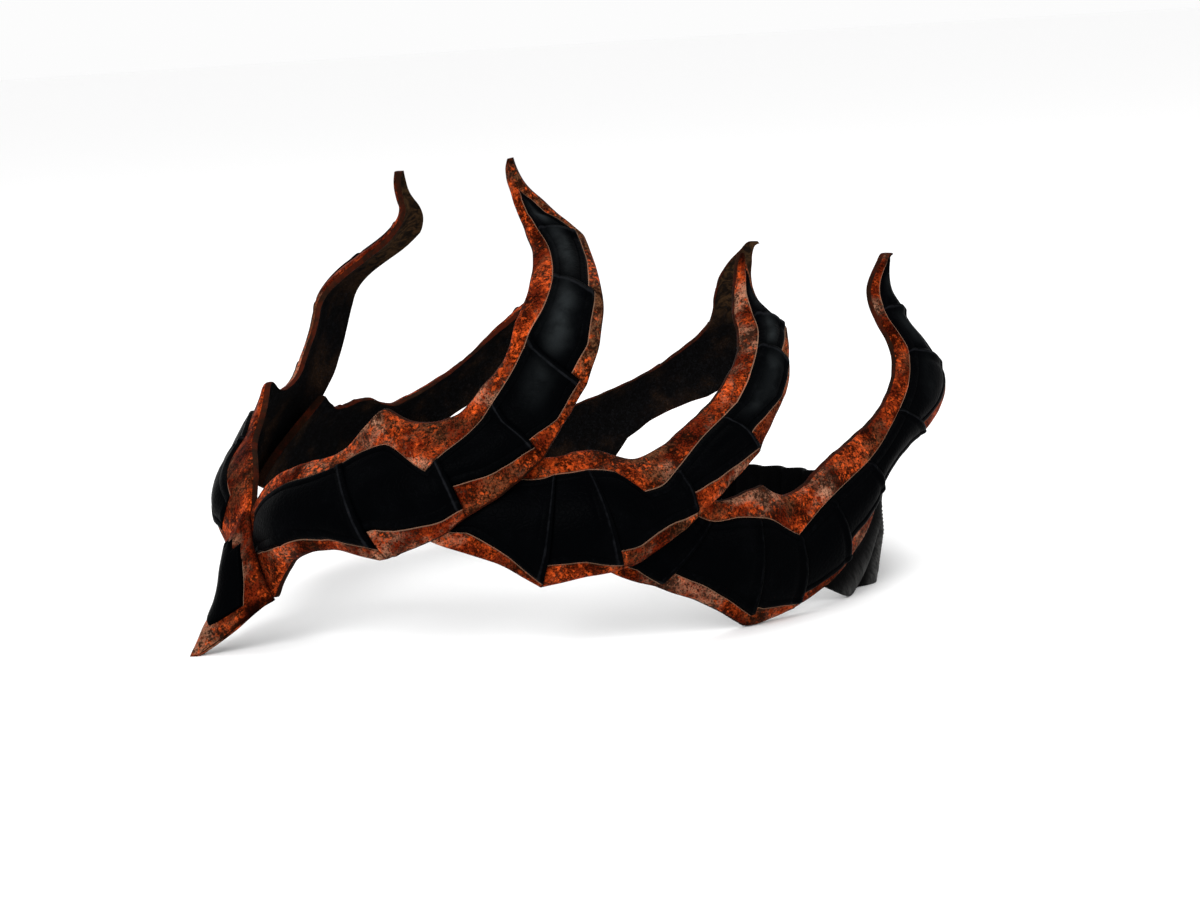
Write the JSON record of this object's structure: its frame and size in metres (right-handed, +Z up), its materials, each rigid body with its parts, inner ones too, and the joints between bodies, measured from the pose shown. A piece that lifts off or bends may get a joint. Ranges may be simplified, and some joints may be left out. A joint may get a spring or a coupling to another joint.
{
  "type": "leather crown",
  "caption": "Open leather crown with a pointed brow plate, shingled side plates that rise into curved horns, and a pleated strap round the back of the head.",
  "frame": {"origin": "on the resting plane, under the middle of the crown's box", "axes": "+Z up; the brow faces -Y; +X is the wearer's left"},
  "size_m": [0.1832, 0.2313, 0.1338],
  "materials": {
    "plate_leather": "tooled leather with a mottled copper border and a raised black panel, satin",
    "strap_leather": "soft black leather, satin"
  },
  "bodies": {
    "root": {"centre_plate": "plate_leather", "left_front_plate": "plate_leather", "right_front_plate": "plate_leather", "left_middle_plate": "plate_leather", "right_middle_plate": "plate_leather", "left_rear_plate": "plate_leather", "right_rear_plate": "plate_leather", "back_strap": "strap_leather"}
  },
  "joints": []
}
